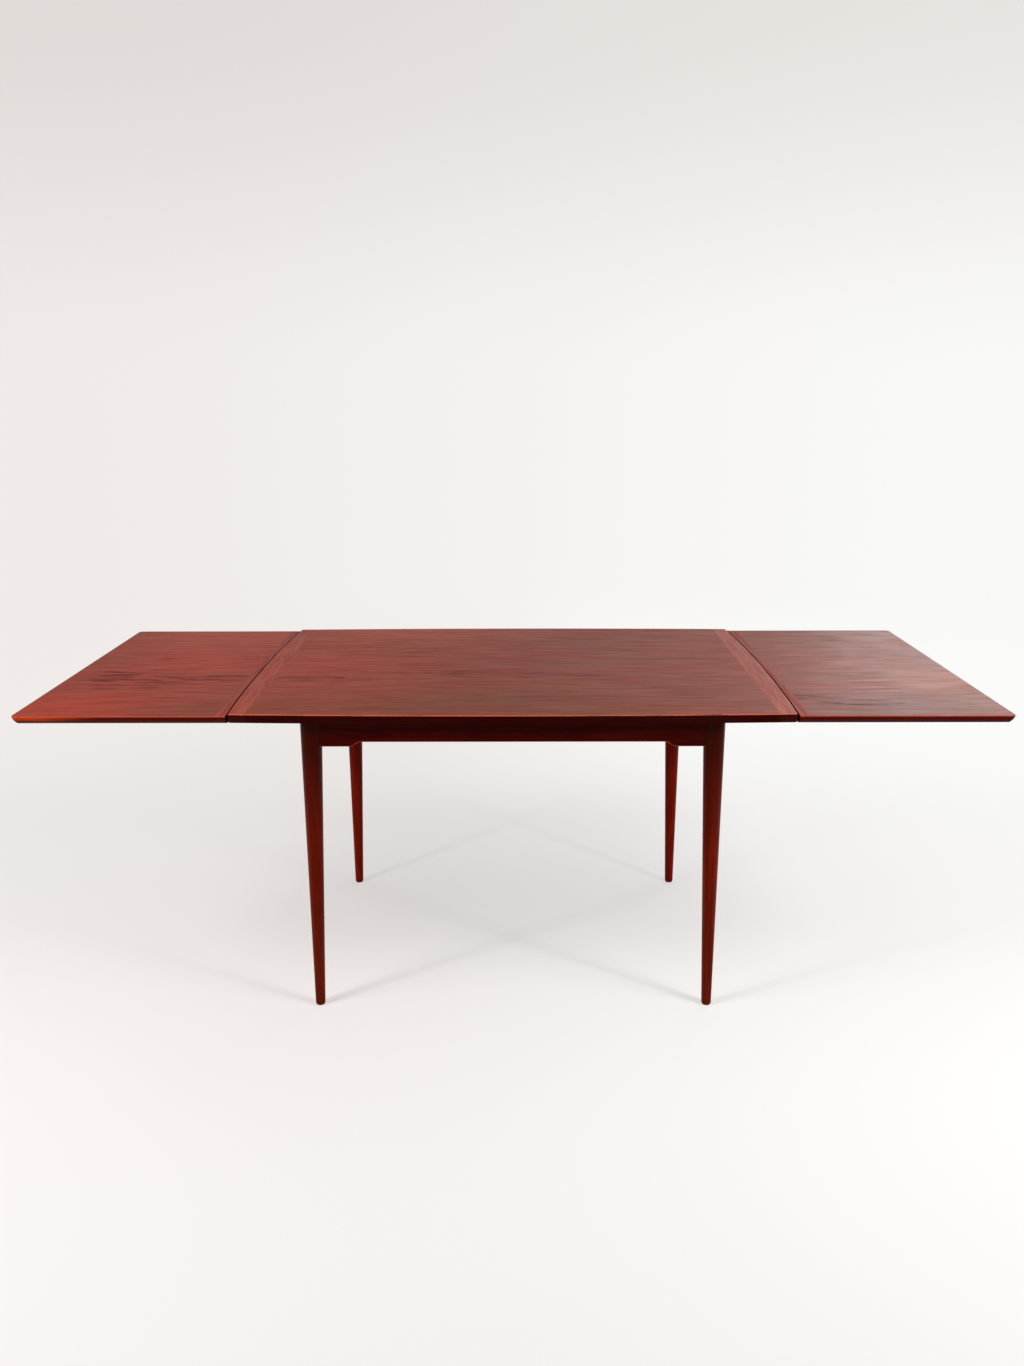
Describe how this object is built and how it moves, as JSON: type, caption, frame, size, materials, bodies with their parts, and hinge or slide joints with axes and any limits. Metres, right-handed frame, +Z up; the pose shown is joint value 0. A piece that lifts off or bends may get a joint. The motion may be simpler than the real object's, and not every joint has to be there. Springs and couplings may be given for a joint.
{
  "type": "extending dining table",
  "caption": "Wooden dining table with bowed main top, round tapered legs and a loose leaf at each end resting on pull-out lopers that slide back into the frame.",
  "frame": {"origin": "on the floor under the middle of the table", "axes": "+X along the table towards the right leaf, +Y towards the rear, +Z up"},
  "size_m": [2.102, 0.848, 0.73],
  "materials": {
    "top_veneer": "satin lacquered red-brown teak veneer, grain along the table",
    "cross_band": "satin lacquered red-brown wood, grain across the table",
    "edge_lipping": "satin lacquered solid edge strip",
    "leg_wood": "satin lacquered turned wood",
    "apron_wood": "satin lacquered solid wood",
    "loper_wood": "plain waxed beech",
    "hidden_wood": "plain unfinished beech",
    "fixing_steel": "dulled slotted wood screws"
  },
  "bodies": {
    "frame": {"top_panel": "top_veneer", "top_band_left": "cross_band", "top_band_right": "cross_band", "top_lipping_front": "edge_lipping", "top_lipping_rear": "edge_lipping", "leg_front_left": "leg_wood", "leg_front_right": "leg_wood", "leg_rear_left": "leg_wood", "leg_rear_right": "leg_wood", "apron_front": "apron_wood", "apron_rear": "apron_wood", "apron_left": "apron_wood", "apron_right": "apron_wood", "corner_block_front_left": "hidden_wood", "corner_block_front_right": "hidden_wood", "corner_block_rear_left": "hidden_wood", "corner_block_rear_right": "hidden_wood", "cross_rail_left": "hidden_wood", "cross_rail_right": "hidden_wood", "hold_down_left": "hidden_wood", "hold_down_right": "hidden_wood"},
    "loper_left_front_bar": {"loper_left_front": "loper_wood", "loper_stop_left_front": "loper_wood"},
    "loper_left_rear_bar": {"loper_left_rear": "loper_wood", "loper_stop_left_rear": "loper_wood"},
    "loper_right_front_bar": {"loper_right_front": "loper_wood", "loper_stop_right_front": "loper_wood"},
    "loper_right_rear_bar": {"loper_right_rear": "loper_wood", "loper_stop_right_rear": "loper_wood"},
    "leaf_left": {"leaf_left_panel": "top_veneer", "leaf_left_band": "cross_band", "leaf_left_lipping_front": "edge_lipping", "leaf_left_lipping_rear": "edge_lipping", "leaf_left_lipping_end": "edge_lipping", "leaf_left_cleats": "hidden_wood"},
    "leaf_right": {"leaf_right_panel": "top_veneer", "leaf_right_band": "cross_band", "leaf_right_lipping_front": "edge_lipping", "leaf_right_lipping_rear": "edge_lipping", "leaf_right_lipping_end": "edge_lipping", "leaf_right_cleats": "hidden_wood"}
  },
  "joints": [
    {"name": "loper_left_front_slide", "type": "slide", "parent": "frame", "child": "loper_left_front_bar", "axis": [1, 0, 0], "range_m": [0, 0.39]},
    {"name": "loper_left_rear_slide", "type": "slide", "parent": "frame", "child": "loper_left_rear_bar", "axis": [1, 0, 0], "range_m": [0, 0.39]},
    {"name": "loper_right_front_slide", "type": "slide", "parent": "frame", "child": "loper_right_front_bar", "axis": [-1, 0, 0], "range_m": [0, 0.39]},
    {"name": "loper_right_rear_slide", "type": "slide", "parent": "frame", "child": "loper_right_rear_bar", "axis": [-1, 0, 0], "range_m": [0, 0.39]},
    {"name": "leaf_left_lift", "type": "slide", "parent": "frame", "child": "leaf_left", "axis": [0, 0, 1], "range_m": [0, 0.15]},
    {"name": "leaf_right_lift", "type": "slide", "parent": "frame", "child": "leaf_right", "axis": [0, 0, 1], "range_m": [0, 0.15]}
  ]
}
